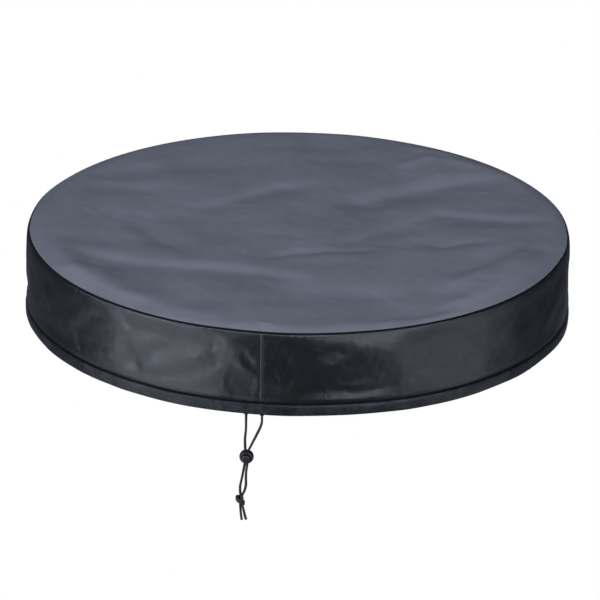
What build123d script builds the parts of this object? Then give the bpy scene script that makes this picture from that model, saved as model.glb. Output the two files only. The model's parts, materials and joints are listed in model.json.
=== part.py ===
from build123d import *
from math import asin, atan, cos, degrees, hypot, pi, radians, sin, sqrt, tan
import os

# A round drawcord cover for a small hot tub, in millimetres. It is a sewn cloth
# cap: a round top panel, a skirt of two half-ring panels and a hem that holds a
# drawcord. The cord's two ends hang from the hem at the front seam and carry a
# spring cord lock. +Z is up, -Y is the front, where the drawcord hangs. The origin is
# the centre of the top panel's inner face, which rests on the tub's rim.

# Cloth shell
cover_radius = 400.0  # outside of the skirt
rim_width = 40.0  # outer band of the top panel that bends down to the seam
rim_slope = 16.0  # how far that band has turned down at the seam, degrees
skirt_height = 128.0  # top seam to the bottom of the hem
cloth = 0.8  # coated cloth, with its backing
layer_gap = 0.3  # air between cloth layers that lie on each other
seam_allowance = 9.0  # cloth beyond the stitching, turned inside
turn_radius = 0.4  # inside radius where the top panel turns into its seam

# Binding tape over the raw edges inside
tape = 0.5
tape_reach = 7.0  # how far each side of the folded tape covers the seam
flat_gap = 0.05  # air beside flat layers

# Hem and drawcord
hem_height = 20.0  # bottom edge to the hem's stitching
hem_strip = 3.0  # hem cloth above its stitching
tunnel_width = 4.6  # free width inside the hem
tunnel_taper = 6.0  # height over which the tunnel closes to the stitching
cord_diameter = 3.5
cord_clearance = 0.35  # air round the cord in every hole it passes
cord_rise = 10.0  # height of the cord in the hem above the hem's bottom
cord_bend = 7.5  # centreline radius where the cord turns down to its exit
exit_left_x = -19.8
exit_right_x = 3.2
collar_wall = 0.7  # thread worked round each exit hole
collar_height = 2.1
collar_lip = 0.1  # how far the collar stands below the hem

# Thread
thread = 0.6
seam_thread_depth = 3.0  # below the top of the skirt
topstitch_offset = 3.0  # rows of stitching beside the upright seams
topstitch_margin = 2.0  # from the ends of the skirt

# Cord lock
lock_x = -18.2
lock_drop = 66.3  # hem bottom to the centre of the ball
lock_radius = 10.4
strand_gap = 0.2  # between the two strands where they pass the lock
nose_flat = 0.625 * lock_radius  # centre of the ball to its flat front
bore_radius = 0.596 * lock_radius
bore_chamfer = 0.6
pocket_radius = 0.375 * lock_radius
pocket_floor = -0.827 * lock_radius  # behind the centre of the ball
mouth_start = 0.596 * lock_radius  # where the cord hole begins to flare
mouth_taper = 28.0
plunger_clearance = 0.35
plunger_back = -0.346 * lock_radius
plunger_stand = 4.6  # how far the button stands out of the ball
plunger_round = 2.4
press_travel = 2.5
press_stop = 0.2  # left behind the pressed button
spring_wire = 0.5
spring_turns = 2.5
spring_clearance = 0.5  # round the coil in its pocket

# Knot
strand_cross = cord_diameter / 2 + 0.2  # of each strand from the plane, where they cross
knot_x = -28.6
knot_drop = 135.4
knot_half_width = 6.6
knot_half_height = 7.0

# Radii of the layers at the top seam, from the outside in
skirt_in = cover_radius - cloth
tape_outer = skirt_in - layer_gap
tape_outer_in = tape_outer - tape
tuck_out = tape_outer_in - layer_gap
tuck_in = tuck_out - cloth
turn_out = tuck_in - layer_gap
turn_in = turn_out - cloth
tape_inner = turn_in - layer_gap
tape_inner_in = tape_inner - tape

# Heights
rim_start = cover_radius - rim_width
bend_radius = turn_radius + cloth
rim_radius = (turn_out - bend_radius - rim_start) / sin(radians(rim_slope)) + bend_radius
rim_centre_z = cloth - rim_radius
bend_centre_z = rim_centre_z + (rim_radius - bend_radius) * cos(radians(rim_slope))
seam_z = rim_centre_z + rim_radius * cos(radians(rim_slope))
fold_radius = (cover_radius - tuck_in) / 2
fold_centre_z = seam_z - fold_radius
tuck_end_z = fold_centre_z - seam_allowance
hem_z = seam_z - skirt_height
hem_stitch_z = hem_z + hem_height

# Hem tunnel
tunnel_in = skirt_in - tunnel_width
hem_in = tunnel_in - cloth
hem_radius = (cover_radius - hem_in) / 2
tunnel_radius = tunnel_width / 2
tunnel_mid = skirt_in - tunnel_radius
hem_centre_z = hem_z + hem_radius
tunnel_shoulder_z = hem_stitch_z - tunnel_taper

# Drawcord exits
cord_radius = cord_diameter / 2
hole_radius = cord_radius + cord_clearance
cord_z = hem_z + cord_rise
exit_reach = hypot(tunnel_mid, cord_bend)
bend_angle = degrees(atan(cord_bend / tunnel_mid))
exit_left_y = -sqrt(exit_reach**2 - exit_left_x**2)
exit_right_y = -sqrt(exit_reach**2 - exit_right_x**2)
exits = [(exit_left_x, exit_left_y), (exit_right_x, exit_right_y)]
hang_y = (exit_left_y + exit_right_y) / 2

# Cord lock
lock_z = hem_z - lock_drop
plunger_radius = bore_radius - plunger_clearance
bore_floor = plunger_back - press_travel - press_stop
spring_radius = pocket_radius - spring_clearance - spring_wire / 2
strand_spacing = cord_diameter + strand_gap
strand_left_x = lock_x - strand_spacing / 2
strand_right_x = lock_x + strand_spacing / 2
cord_hole_width = strand_spacing + 2 * hole_radius
cord_hole_depth = 2 * hole_radius


os.makedirs("parts", exist_ok=True)


def half_plane(angle):
    """Upright plane through the Z axis, its X pointing out at this angle."""
    out = Vector(cos(radians(angle)), sin(radians(angle)), 0)
    return Plane(origin=(0, 0, 0), x_dir=out, z_dir=out.cross(Vector(0, 0, 1)))


def finish(piece, name):
    """Label a finished piece and write its STEP file."""
    piece.part.label = name
    export_step(piece.part, f"parts/{name}.step")


def skirt_section():
    """Cloth section of a skirt panel: tuck, wall, and hem folded up round its tunnel."""
    fold_centre = (cover_radius - fold_radius, fold_centre_z)
    hem_centre = (cover_radius - hem_radius, hem_centre_z)
    with BuildSketch() as section:
        with BuildLine():
            Line((cover_radius, hem_centre_z), (cover_radius, fold_centre_z))
            CenterArc(fold_centre, fold_radius, 0, 180)
            Polyline(
                (tuck_in, fold_centre_z),
                (tuck_in, tuck_end_z),
                (tuck_out, tuck_end_z),
                (tuck_out, fold_centre_z),
            )
            CenterArc(fold_centre, fold_radius - cloth, 180, -180)
            Polyline(
                (skirt_in, fold_centre_z),
                (skirt_in, hem_stitch_z + hem_strip),
                (skirt_in - cloth, hem_stitch_z + hem_strip),
                (skirt_in - cloth, hem_stitch_z),
                (hem_in, tunnel_shoulder_z),
                (hem_in, hem_centre_z),
            )
            CenterArc(hem_centre, hem_radius, 180, 180)
        make_face()
        with BuildLine():
            Polyline(
                (tunnel_in, hem_centre_z),
                (tunnel_in, tunnel_shoulder_z),
                (skirt_in, hem_stitch_z - cloth),
                (skirt_in, hem_centre_z),
            )
            CenterArc((tunnel_mid, hem_centre_z), tunnel_radius, 0, -180)
        make_face(mode=Mode.SUBTRACT)
    return section.sketch


def skirt_panel(start, side):
    """Half-ring panel from this angle on, with its edges turned in at both seams."""
    exit_at = exits[0] if side < 0 else exits[1]
    turned = skirt_in - seam_allowance
    top = tuck_end_z - layer_gap - tape
    low = hem_stitch_z + hem_strip
    with BuildPart() as panel:
        with BuildSketch(half_plane(start)):
            add(skirt_section())
        revolve(axis=Axis.Z, revolution_arc=180)
        for face_y in (-1, 1):
            wall_mid = face_y * (skirt_in + cloth / 4)
            with BuildSketch(Plane.XY.offset(low)):
                with Locations((side * cloth / 2, (wall_mid + face_y * turned) / 2)):
                    Rectangle(cloth, abs(wall_mid) - turned)
            extrude(amount=top - low)
        with BuildSketch(Plane.XY.offset(hem_z - cloth)):
            with Locations(exit_at):
                Circle(hole_radius)
        extrude(amount=cloth + hem_radius, mode=Mode.SUBTRACT)
    return panel


def seam_binding(face_y):
    """Folded tape over the two turned-in edges of an upright seam."""
    turned = skirt_in - seam_allowance
    inner = cloth + flat_gap
    outer = inner + tape
    fold_y = turned - flat_gap
    top = tuck_end_z - layer_gap - tape
    low = hem_stitch_z + hem_strip
    with BuildPart() as binding:
        with BuildSketch(Plane.XY.offset(low)):
            with BuildLine():
                Polyline(
                    (-outer, face_y * (fold_y - tape)),
                    (outer, face_y * (fold_y - tape)),
                    (outer, face_y * (fold_y + tape_reach)),
                    (inner, face_y * (fold_y + tape_reach)),
                    (inner, face_y * fold_y),
                    (-inner, face_y * fold_y),
                    (-inner, face_y * (fold_y + tape_reach)),
                    (-outer, face_y * (fold_y + tape_reach)),
                    close=True,
                )
            make_face()
        extrude(amount=top - low)
    return binding


def seam_thread(face_y):
    """Two rows of topstitching, one each side of an upright seam."""
    low = hem_z + hem_radius
    high = fold_centre_z - topstitch_margin
    row_y = face_y * sqrt(cover_radius**2 - topstitch_offset**2)
    with BuildPart() as rows:
        with BuildSketch(Plane.XY.offset(low)):
            with Locations((-topstitch_offset, row_y), (topstitch_offset, row_y)):
                Circle(thread / 2)
        extrude(amount=high - low)
    return rows


def thread_ring(radius, height):
    """Row of stitching round the cover."""
    with BuildPart() as ring:
        with BuildSketch(Plane.XZ):
            with Locations((radius, height)):
                Circle(thread / 2)
        revolve(axis=Axis.Z)
    return ring


def strand_path(points):
    """Straight runs joined by the largest arcs their lengths allow, with the arcs' radii."""
    corners = [Vector(*p) for p in points]
    radii = []
    for before, here, after in zip(corners, corners[1:], corners[2:]):
        turn = radians((here - before).get_angle(after - here))
        shorter = min((here - before).length, (after - here).length)
        radii.append(0.45 * shorter / tan(turn / 2))
    return corners, radii


def strand(name, points):
    """Free length of cord along a route."""
    corners, radii = strand_path(points)
    with BuildPart() as tube:
        with BuildLine() as route:
            FilletPolyline(*corners, radius=radii)
        line = route.wire()
        with BuildSketch(Plane(origin=line @ 0, z_dir=line % 0)):
            Circle(cord_radius)
        sweep(path=line)
    expected = pi * cord_radius**2 * line.length
    print(f"{name}: length {line.length:.1f}, volume/expected {tube.part.volume / expected:.4f}")
    print("   radii", [round(r, 1) for r in radii])
    return tube


# Top panel: a disc whose rim bends down and turns into the seam
with BuildPart() as top_panel:
    with BuildSketch(Plane.XZ):
        with BuildLine():
            bend_x = rim_start + (rim_radius - bend_radius) * sin(radians(rim_slope))
            Line((0, cloth), (rim_start, cloth))
            CenterArc((rim_start, rim_centre_z), rim_radius, 90, -rim_slope)
            CenterArc((bend_x, bend_centre_z), bend_radius, 90 - rim_slope, rim_slope - 90)
            Polyline(
                (turn_out, bend_centre_z),
                (turn_out, tuck_end_z),
                (turn_in, tuck_end_z),
                (turn_in, bend_centre_z),
            )
            CenterArc((bend_x, bend_centre_z), turn_radius, 0, 90 - rim_slope)
            CenterArc((rim_start, rim_centre_z), rim_radius - cloth, 90 - rim_slope, rim_slope)
            Polyline((rim_start, 0), (0, 0), (0, cloth))
        make_face()
    revolve(axis=Axis.Z)
finish(top_panel, "top_panel")

skirt_panel_right = skirt_panel(-90, 1)
finish(skirt_panel_right, "skirt_panel_right")
skirt_panel_left = skirt_panel(90, -1)
finish(skirt_panel_left, "skirt_panel_left")

# Tape folded under the raw edges of the top seam
with BuildPart() as top_seam_binding:
    with BuildSketch(Plane.XZ):
        with BuildLine():
            tape_top = tuck_end_z + tape_reach
            tape_fold = tuck_end_z - layer_gap
            Polyline(
                (tape_outer, tape_top),
                (tape_outer, tape_fold - tape),
                (tape_inner_in, tape_fold - tape),
                (tape_inner_in, tape_top),
                (tape_inner, tape_top),
                (tape_inner, tape_fold),
                (tape_outer_in, tape_fold),
                (tape_outer_in, tape_top),
                close=True,
            )
        make_face()
    revolve(axis=Axis.Z)
finish(top_seam_binding, "top_seam_binding")

finish(seam_binding(-1), "front_seam_binding")
finish(seam_binding(1), "back_seam_binding")

# Stitching
finish(thread_ring((tuck_in + turn_out) / 2, seam_z - seam_thread_depth), "top_seam_thread")
finish(thread_ring(cover_radius, hem_stitch_z), "hem_thread")
finish(seam_thread(-1), "front_seam_thread")
finish(seam_thread(1), "back_seam_thread")

# Collars of thread worked round the two cord exits
with BuildPart() as exit_stitching:
    with BuildSketch(Plane.XY.offset(hem_z - collar_lip)):
        with Locations(*exits):
            Circle(hole_radius + collar_wall)
            Circle(hole_radius, mode=Mode.SUBTRACT)
    extrude(amount=collar_height)
finish(exit_stitching, "exit_stitching")

# Drawcord inside the hem: once round, then a bend down to each exit
run_start = -90 + degrees(asin(exit_right_x / exit_reach)) + bend_angle
run_end = 270 + degrees(asin(exit_left_x / exit_reach)) - bend_angle
with BuildPart() as drawcord_in_hem:
    with BuildSketch(half_plane(run_start)):
        with Locations((tunnel_mid, cord_z)):
            Circle(cord_radius)
    revolve(axis=Axis.Z, revolution_arc=run_end - run_start)
    for angle, turn in ((run_start, 1), (run_end, -1)):
        out = Vector(cos(radians(angle)), sin(radians(angle)), 0)
        hub = out * tunnel_mid + Vector(0, 0, cord_z - cord_bend)
        with BuildSketch(half_plane(angle)):
            with Locations((tunnel_mid, cord_z)):
                Circle(cord_radius)
        revolve(axis=Axis(hub, out * turn), revolution_arc=90)
    with BuildSketch(Plane.XY.offset(hem_z)):
        with Locations(*exits):
            Circle(cord_radius)
    extrude(amount=cord_rise - cord_bend)
finish(drawcord_in_hem, "drawcord_in_hem")

# Routes of the free cord ends: x, y from the plane they hang in, drop below the hem.
# In and near the lock x is set from the strand's own line through it, and y in the knot
# is in shares of the distance that keeps the crossing strands apart
left_y = exit_left_y - hang_y
right_y = exit_right_y - hang_y
routes = {
    "drawcord_left_upper": [
        (exit_left_x, left_y, 0),
        (exit_left_x, left_y, 11.5),
        (-19.6, 0, 24.0),
        (-20.9, -0.1, 37.2),
        (strand_left_x - 0.65, 0, 48.6),
        (strand_left_x, 0, 57.6),
        (strand_left_x, 0, 66.0),
    ],
    "drawcord_right_upper": [
        (exit_right_x, right_y, 0),
        (exit_right_x, right_y, 5.0),
        (3.3, 0, 11.2),
        (1.4, 0, 18.6),
        (-2.6, 0.1, 28.0),
        (-7.7, 0.1, 39.3),
        (-12.5, 0, 50.0),
        (strand_right_x + 0.75, 0, 56.6),
        (strand_right_x, 0, 61.4),
        (strand_right_x, 0, 66.0),
    ],
    "drawcord_left_lower": [
        (strand_left_x, 0, 66.0),
        (strand_left_x, 0, 74.0),
        (strand_left_x - 1.25, 0, 82.2),
        (strand_left_x - 2.75, 0.2, 91.0),
        (strand_left_x - 4.95, 0.5, 103.0),
        (-27.2, 0.46 * strand_cross, 114.4),
        (-26.9, 0.82 * strand_cross, 122.4),
        (-26.0, strand_cross, 129.5),
        (-26.6, strand_cross, 137.5),
        (-26.4, 0.87 * strand_cross, 146.0),
        (-25.4, 0.62 * strand_cross, 156.6),
        (-23.8, 0.46 * strand_cross, 166.8),
    ],
    "drawcord_right_lower": [
        (strand_right_x, 0, 66.0),
        (strand_right_x, 0, 74.0),
        (strand_right_x - 1.05, 0, 82.2),
        (strand_right_x - 2.15, -0.1, 90.8),
        (strand_right_x - 2.35, -0.4, 100.0),
        (-18.1, -0.41 * strand_cross, 110.4),
        (-19.8, -0.67 * strand_cross, 118.9),
        (-22.9, -0.92 * strand_cross, 125.3),
        (-24.9, -strand_cross, 131.2),
        (-24.0, -strand_cross, 138.0),
        (-22.2, -0.82 * strand_cross, 145.2),
        (-20.0, -0.67 * strand_cross, 155.0),
        (-17.3, -0.51 * strand_cross, 165.0),
    ],
}
for name, route in routes.items():
    points = [(x, hang_y + y, hem_z - drop) for x, y, drop in route]
    finish(strand(name, points), name)

# Knot that keeps the lock on the cord: the outer shape of a two-strand overhand knot
knot_centre = Vector(knot_x, hang_y, hem_z - knot_drop)
with BuildPart() as cord_knot:
    with BuildSketch(Plane(origin=knot_centre, x_dir=(1, 0, 0), z_dir=(0, -1, 0))):
        with BuildLine():
            EllipticalCenterArc((0, 0), knot_half_width, knot_half_height, -90, arc_size=180)
            Line((0, knot_half_height), (0, -knot_half_height))
        make_face()
    revolve(axis=Axis(knot_centre, (0, 0, 1)))
finish(cord_knot, "cord_knot")

# Cord lock. In its own plane X is across, Y is up and Z points out of the front
lock_centre = Vector(lock_x, hang_y, lock_z)
lock_plane = Plane(origin=lock_centre, x_dir=(1, 0, 0), z_dir=(0, -1, 0))

with BuildPart(lock_plane) as lock_barrel:
    Sphere(lock_radius)
    split(bisect_by=lock_plane.offset(nose_flat), keep=Keep.BOTTOM)
    with BuildSketch(lock_plane.offset(nose_flat)):
        Circle(bore_radius)
    extrude(amount=bore_floor - nose_flat, mode=Mode.SUBTRACT)
    with BuildSketch(lock_plane.offset(nose_flat)):
        Circle(pocket_radius)
    extrude(amount=pocket_floor - nose_flat, mode=Mode.SUBTRACT)
    front = lock_barrel.faces().filter_by(Axis.Y).sort_by(Axis.Y)[0]
    chamfer(front.edges(), length=bore_chamfer)
    with BuildSketch(Plane(origin=lock_centre, x_dir=(1, 0, 0), z_dir=(0, 0, 1))):
        SlotOverall(cord_hole_width, cord_hole_depth)
    extrude(amount=lock_radius, both=True, mode=Mode.SUBTRACT)
    for way in (1, -1):
        mouth = lock_centre + Vector(0, 0, way * mouth_start)
        with BuildSketch(Plane(origin=mouth, x_dir=(1, 0, 0), z_dir=(0, 0, way))):
            SlotOverall(cord_hole_width, cord_hole_depth)
        extrude(amount=lock_radius - mouth_start, taper=-mouth_taper, mode=Mode.SUBTRACT)
finish(lock_barrel, "lock_barrel")

with BuildPart() as lock_plunger:
    with BuildSketch(lock_plane.offset(plunger_back)):
        Circle(plunger_radius)
    extrude(amount=nose_flat + plunger_stand - plunger_back)
    fillet(lock_plunger.edges().sort_by(Axis.Y)[0], radius=plunger_round)
    slot_centre = lock_centre - Vector(0, press_travel / 2, 0)
    with BuildSketch(Plane(origin=slot_centre, x_dir=(1, 0, 0), z_dir=(0, 0, 1))) as slot:
        Rectangle(cord_hole_width, cord_hole_depth + press_travel)
        fillet(slot.vertices(), radius=cord_radius)
    extrude(amount=lock_radius, both=True, mode=Mode.SUBTRACT)
finish(lock_plunger, "lock_plunger")

with BuildPart() as lock_spring:
    spring_base = pocket_floor + spring_wire / 2 + flat_gap
    spring_height = plunger_back - spring_wire / 2 - flat_gap - spring_base
    spring_seat = lock_plane.offset(spring_base)
    with BuildLine() as coil:
        Helix(
            spring_height / spring_turns,
            spring_height,
            spring_radius,
            center=spring_seat.origin,
            direction=spring_seat.z_dir,
        )
    with BuildSketch(Plane(origin=coil.line @ 0, z_dir=coil.line % 0)):
        Circle(spring_wire / 2)
    sweep(path=coil.line, is_frenet=True)
finish(lock_spring, "lock_spring")

print(f"hem_z {hem_z:.3f}, hang_y {hang_y:.3f}, lock_z {lock_z:.3f}")
print(f"cord in hem: {radians(run_end - run_start) * tunnel_mid + pi * cord_bend:.0f} long")
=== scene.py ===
import json
import math
import bpy
import numpy as np
from mathutils import Matrix, Vector


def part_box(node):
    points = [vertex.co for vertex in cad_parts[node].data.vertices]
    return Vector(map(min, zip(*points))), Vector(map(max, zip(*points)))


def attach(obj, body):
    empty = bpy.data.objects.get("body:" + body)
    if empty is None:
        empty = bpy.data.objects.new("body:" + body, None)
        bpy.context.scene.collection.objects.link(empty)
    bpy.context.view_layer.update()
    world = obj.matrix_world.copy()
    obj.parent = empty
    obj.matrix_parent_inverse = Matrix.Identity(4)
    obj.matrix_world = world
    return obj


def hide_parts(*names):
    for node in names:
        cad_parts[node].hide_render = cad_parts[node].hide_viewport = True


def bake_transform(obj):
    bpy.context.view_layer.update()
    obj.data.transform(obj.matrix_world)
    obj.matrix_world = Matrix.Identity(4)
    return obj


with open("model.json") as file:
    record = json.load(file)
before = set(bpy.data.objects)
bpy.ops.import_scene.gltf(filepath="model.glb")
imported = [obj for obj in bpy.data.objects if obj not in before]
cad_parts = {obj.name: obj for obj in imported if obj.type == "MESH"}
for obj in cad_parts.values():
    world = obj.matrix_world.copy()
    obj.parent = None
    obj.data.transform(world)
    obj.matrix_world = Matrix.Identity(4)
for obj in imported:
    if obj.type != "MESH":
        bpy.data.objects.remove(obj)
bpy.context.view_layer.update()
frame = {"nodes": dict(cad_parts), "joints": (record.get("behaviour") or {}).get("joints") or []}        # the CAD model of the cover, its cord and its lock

# Places that several pieces share, all read from the frame, in metres
skirtLow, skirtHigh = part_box("skirt_panel_right")
lockLow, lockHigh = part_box("lock_barrel")
plungerLow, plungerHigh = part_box("lock_plunger")
jointPlace = {joint["name"]: joint.get("pos_m") for joint in frame["joints"]}
coverRadius = skirtHigh.x
hemZ = skirtLow.z                     # bottom of the hem
crownZ = skirtHigh.z                  # top of the skirt, where it turns into the seam
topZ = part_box("top_panel")[1].z
hangY = jointPlace["drawcord_swing"][1]     # the cord's ends hang in this plane
lockX = (plungerLow.x + plungerHigh.x) / 2
lockZ = (plungerLow.z + plungerHigh.z) / 2
skirtHeight = crownZ - hemZ


# Mesh helpers


def meshObject(name, points, quads, triangles=None, uv=None):
    # points (n, 3); quads (m, 4) and triangles (k, 3) hold point numbers; uv has one pair
    # for each corner, quads first. The faces are turned over if they point inwards,
    # which the sign of the enclosed volume tells.
    points = np.asarray(points, np.float64)
    quads = np.asarray(quads, np.int32)
    if triangles is None:
        triangles = np.zeros((0, 3), np.int32)
    triangles = np.asarray(triangles, np.int32)
    corners = points - points.mean(0)
    halves = np.concatenate([quads[:, [0, 1, 2]], quads[:, [0, 2, 3]], triangles])
    a, b, c = (corners[halves[:, k]] for k in range(3))
    if np.einsum("ij,ij->i", a, np.cross(b, c)).sum() < 0:
        quads, triangles = quads[:, ::-1], triangles[:, ::-1]
        if uv is not None:
            split = quads.size
            uv = np.concatenate([
                np.asarray(uv)[:split].reshape(-1, 4, 2)[:, ::-1].reshape(-1, 2),
                np.asarray(uv)[split:].reshape(-1, 3, 2)[:, ::-1].reshape(-1, 2),
            ])
    mesh = bpy.data.meshes.new(name)
    mesh.vertices.add(len(points))
    mesh.vertices.foreach_set("co", points.astype(np.float32).ravel())
    corner = np.concatenate([quads.ravel(), triangles.ravel()])
    starts = np.concatenate([
        np.arange(len(quads)) * 4,
        quads.size + np.arange(len(triangles)) * 3,
    ])
    mesh.loops.add(len(corner))
    mesh.loops.foreach_set("vertex_index", corner.astype(np.int32))
    mesh.polygons.add(len(starts))
    mesh.polygons.foreach_set("loop_start", starts.astype(np.int32))
    mesh.update(calc_edges=True)
    mesh.polygons.foreach_set("use_smooth", np.ones(len(starts), bool))
    if uv is not None:
        layer = mesh.uv_layers.new(name="clothUV")
        layer.uv.foreach_set("vector", np.asarray(uv, np.float32).ravel())
    mesh.validate()
    obj = bpy.data.objects.new(name, mesh)
    bpy.context.scene.collection.objects.link(obj)
    return obj


def gridQuads(rows, columns, wrapRows=False, wrapColumns=False):
    # Corners of the quads of a grid, as row and column numbers before any wrapping
    i = np.arange(rows if wrapRows else rows - 1)[:, None]
    j = np.arange(columns if wrapColumns else columns - 1)[None, :]
    i, j = np.broadcast_arrays(i, j)
    quadRows = np.stack([i, i, i + 1, i + 1], -1).reshape(-1, 4)
    quadColumns = np.stack([j, j + 1, j + 1, j], -1).reshape(-1, 4)
    return quadRows, quadColumns


def thickSheet(name, outer, inner, uv, wrap=False):
    # A sheet of cloth with two faces. outer and inner are (rows, columns, 3), uv is
    # (rows, columns, 2), with one column more if the sheet closes on itself. The two
    # faces are joined along their edges by strips of quads.
    rows, columns = outer.shape[:2]
    i, j = gridQuads(rows, columns, wrapColumns=wrap)
    front = (i % rows) * columns + j % columns
    back = rows * columns + front[:, ::-1]
    backI, backJ = i[:, ::-1], j[:, ::-1]
    quads, quadUV = [front, back], [uv[i, j], uv[backI, backJ]]

    def edge(ei, ej):
        a = (ei % rows) * columns + ej % columns
        low, high = a[:-1], a[1:]
        quads.append(np.stack([high, low, low + rows * columns, high + rows * columns], -1))
        pair = uv[ei, ej]
        quadUV.append(np.stack([pair[1:], pair[:-1], pair[:-1], pair[1:]], 1))

    run = np.arange(columns + 1 if wrap else columns)
    edge(np.zeros_like(run), run)
    edge(np.full_like(run, rows - 1)[::-1], run[::-1])
    if not wrap:
        climb = np.arange(rows)
        edge(climb[::-1], np.zeros_like(climb))
        edge(climb, np.full_like(climb, columns - 1))
    points = np.concatenate([outer.reshape(-1, 3), inner.reshape(-1, 3)])
    return meshObject(
        name, points, np.concatenate(quads), uv=np.concatenate([q.reshape(-1, 2) for q in quadUV])
    )


def tubeParts(rings, first=0):
    # Quads along a row of rings (n, m, 3), and a fan of triangles over each end
    n, m = rings.shape[:2]
    i, j = gridQuads(n, m, wrapColumns=True)
    quads = i * m + j % m
    k = np.arange(m)
    last = (n - 1) * m
    startFan = np.stack([np.full(m, n * m), (k + 1) % m, k], -1)
    endFan = np.stack([np.full(m, n * m + 1), last + k, last + (k + 1) % m], -1)
    points = np.concatenate([rings.reshape(-1, 3), rings[:1].mean(1), rings[-1:].mean(1)])
    return points, quads[:, ::-1] + first, np.concatenate([startFan, endFan])[:, ::-1] + first


def tubeObject(name, *tubes):
    # One mesh from one or more rows of rings
    points, quads, fans, first = [], [], [], 0
    for rings in tubes:
        p, q, t = tubeParts(rings, first)
        points.append(p)
        quads.append(q)
        fans.append(t)
        first += len(p)
    return meshObject(name, np.concatenate(points), np.concatenate(quads), np.concatenate(fans))


def unit(vectors):
    return vectors / np.linalg.norm(vectors, axis=1)[:, None]


def distances(line):
    # How far along the line each of its points is
    return np.concatenate([[0], np.cumsum(np.linalg.norm(np.diff(line, axis=0), axis=1))])


def readAt(at, along, values):
    return np.stack([np.interp(at, along, values[:, k]) for k in range(3)], -1)


def smooth(x, low, high):
    # 0 below low, 1 above high, with a soft S between
    t = np.clip((x - low) / (high - low), 0, 1)
    return t * t * (3 - 2 * t)


def waves(u, v, seed, count, longest, shortest):
    # Sum of plane waves with random directions and phases, of lengths from the longest
    # to the shortest, each as high as its length. Its root mean square is 1.
    rng = np.random.default_rng(seed)
    total, power = 0.0, 0.0
    for k in range(count):
        length = longest * (shortest / longest) ** (k / max(1, count - 1))
        turn, phase = rng.uniform(0, 2 * math.pi, 2)
        height = length / longest
        across = u * math.cos(turn) + v * math.sin(turn)
        total = total + height * np.sin(2 * math.pi * across / length + phase)
        power += height**2 / 2
    return total / math.sqrt(power)


def creases(u, v, folds):
    # Each fold is (line, height, width on the left of its direction, width on the
    # right, fade). Its height falls off on each side as a bell curve, and it fades to
    # nothing over a share of its length at each end.
    total = np.zeros(u.shape)
    for line, height, left, right, fade in folds:
        points = np.asarray(line, float)
        steps = np.diff(points, axis=0)
        lengths = np.hypot(steps[:, 0], steps[:, 1])
        before = np.concatenate([[0], np.cumsum(lengths)])
        nearest = np.full(u.shape, 1e9)
        side, along = np.zeros(u.shape), np.zeros(u.shape)
        for start, step, length, done in zip(points, steps, lengths, before):
            du, dv = u - start[0], v - start[1]
            t = np.clip((du * step[0] + dv * step[1]) / length**2, 0, 1)
            distance = np.hypot(du - t * step[0], dv - t * step[1])
            closer = distance < nearest
            nearest = np.where(closer, distance, nearest)
            side = np.where(closer, step[0] * dv - step[1] * du, side)
            along = np.where(closer, (done + t * length) / before[-1], along)
        width = np.where(side > 0, left, right)
        ends = smooth(along, 0, fade) * smooth(1 - along, 0, fade)
        total += height * ends * np.exp(-((nearest / width) ** 2))
    return total


# Material helpers


def newMaterial(name):
    mat = bpy.data.materials.new(name)
    mat.use_nodes = True
    return mat, mat.node_tree, mat.node_tree.nodes["Principled BSDF"]


def feed(node, values):
    # Puts each value on the node's input of that name or number. Another node's output
    # is linked to it, and a colour gets its alpha.
    for key, value in values.items():
        socket = node.inputs[key]
        if isinstance(value, bpy.types.NodeSocket):
            node.id_data.links.new(value, socket)
        else:
            socket.default_value = (*value, 1) if isinstance(value, tuple) else value


def solidPlace(tree):
    return tree.nodes.new("ShaderNodeTexCoord").outputs["Object"]


def noise(tree, place, scale, detail=4.0, rough=0.55, distortion=0.0):
    n = tree.nodes.new("ShaderNodeTexNoise")
    feed(n, {"Vector": place, "Scale": scale, "Detail": detail})
    feed(n, {"Roughness": rough, "Distortion": distortion})
    return n.outputs["Fac"]


def spread(tree, value, low, high, toLow, toHigh):
    # The value's range from low to high becomes toLow to toHigh
    m = tree.nodes.new("ShaderNodeMapRange")
    feed(m, {"Value": value, "From Min": low, "From Max": high, "To Min": toLow, "To Max": toHigh})
    return m.outputs["Result"]


def arithmetic(tree, kind, a, b=0.0):
    m = tree.nodes.new("ShaderNodeMath")
    m.operation = kind
    feed(m, {0: a, 1: b})
    return m.outputs["Value"]


def tones(tree, value, stops):
    node = tree.nodes.new("ShaderNodeValToRGB")
    ramp = node.color_ramp
    while len(ramp.elements) < len(stops):
        ramp.elements.new(0.5)
    for element, (place, colour) in zip(ramp.elements, stops):
        element.position = place
        element.color = (*colour, 1)
    feed(node, {"Fac": value})
    return node.outputs["Color"]


def mixed(tree, share, a, b):
    m = tree.nodes.new("ShaderNodeMix")
    m.data_type = "RGBA"
    feed(m, {"Factor": share, "A": a, "B": b})
    return m.outputs["Result"]


def bump(tree, height, distance, over=None):
    b = tree.nodes.new("ShaderNodeBump")
    feed(b, {"Distance": distance, "Height": height})
    if over is not None:
        feed(b, {"Normal": over})
    return b.outputs["Normal"]


def bands(tree, place, axis, pitch):
    # Even ridges across one axis of the place, one every pitch metres
    w = tree.nodes.new("ShaderNodeTexWave")
    w.wave_type, w.bands_direction, w.wave_profile = "BANDS", axis, "SIN"
    feed(w, {"Vector": place, "Scale": 2 * math.pi / (20 * pitch)})
    return w.outputs["Fac"]


def weaveHeight(tree, flat, pitch):
    # Warp ridges times weft ridges: the over-and-under knuckles of a plain weave
    warp, weft = (spread(tree, bands(tree, flat, axis, pitch), 0, 1, -1, 1) for axis in "XY")
    return arithmetic(tree, "MULTIPLY", warp, weft)


def finishPiece(obj, mat, replaced=None, body="cover"):
    obj.data.materials.append(mat)
    if replaced:
        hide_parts(replaced)
    if body:
        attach(obj, body)


# Camera, light and floor

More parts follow.
